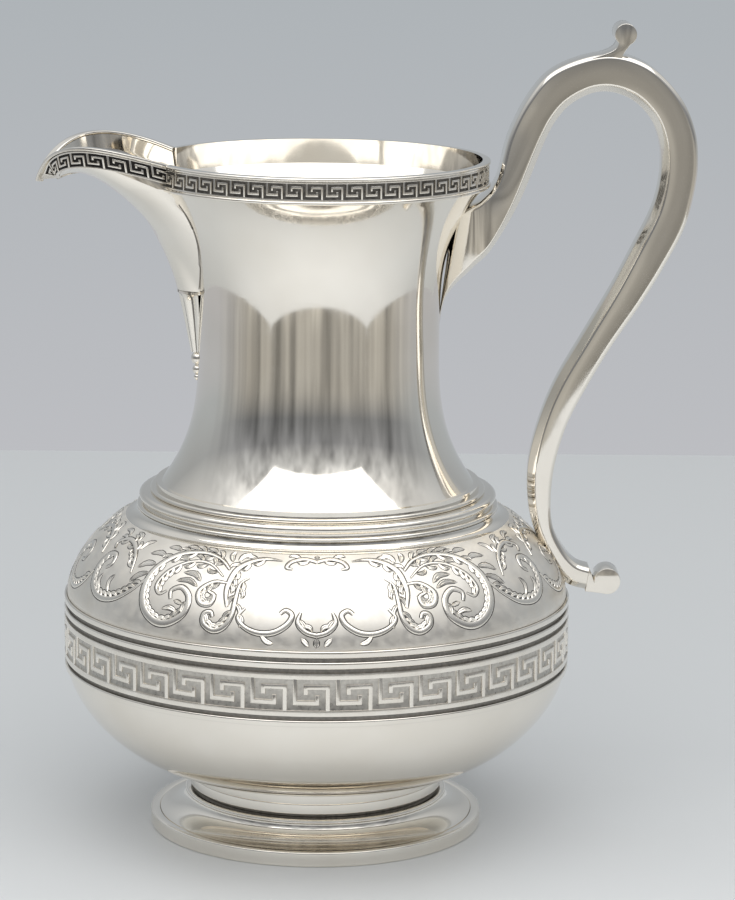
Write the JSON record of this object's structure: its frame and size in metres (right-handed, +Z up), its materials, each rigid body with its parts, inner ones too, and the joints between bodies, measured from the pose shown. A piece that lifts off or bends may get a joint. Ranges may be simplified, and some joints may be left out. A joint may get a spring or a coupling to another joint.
{
  "type": "ewer",
  "caption": "Silver ewer with a waisted neck, key-pattern bands at belly, rim and spout, a chased shoulder and a tall scroll handle.",
  "frame": {"origin": "centre of the foot's base, on the surface that the jug stands on", "axes": "+Z up along the jug's axis, -X towards the spout, +X towards the handle, +Y to the side away from the picture"},
  "size_m": [0.213, 0.1658, 0.2656],
  "materials": {
    "polished_silver": "mirror polish",
    "chased_silver": "polished with chased lines",
    "oxidised_silver": "raised bright pattern on a darkened ground"
  },
  "bodies": {
    "root": {"foot_rim": "polished_silver", "foot_dome": "polished_silver", "foot_bead": "polished_silver", "foot_collar_lower": "polished_silver", "foot_collar_upper": "polished_silver", "lower_bowl": "polished_silver", "shoulder_shell": "chased_silver", "belly_lower_reed": "polished_silver", "belly_key_band": "oxidised_silver", "belly_middle_reed": "polished_silver", "belly_upper_reed": "polished_silver", "collar_cove": "polished_silver", "collar_roll": "polished_silver", "collar_upper_bead": "polished_silver", "neck_shell": "polished_silver", "rim_lower_wire": "polished_silver", "rim_key_band": "oxidised_silver", "rim_lip_wire": "polished_silver", "spout_shell": "polished_silver", "spout_band_left": "oxidised_silver", "spout_band_right": "oxidised_silver", "spout_lip_wire": "polished_silver", "spout_drop": "polished_silver", "spout_drop_beads": "polished_silver", "handle_left_half": "polished_silver", "handle_right_half": "polished_silver", "handle_thumb_scroll": "polished_silver", "handle_tail_scroll": "polished_silver"}
  },
  "joints": []
}
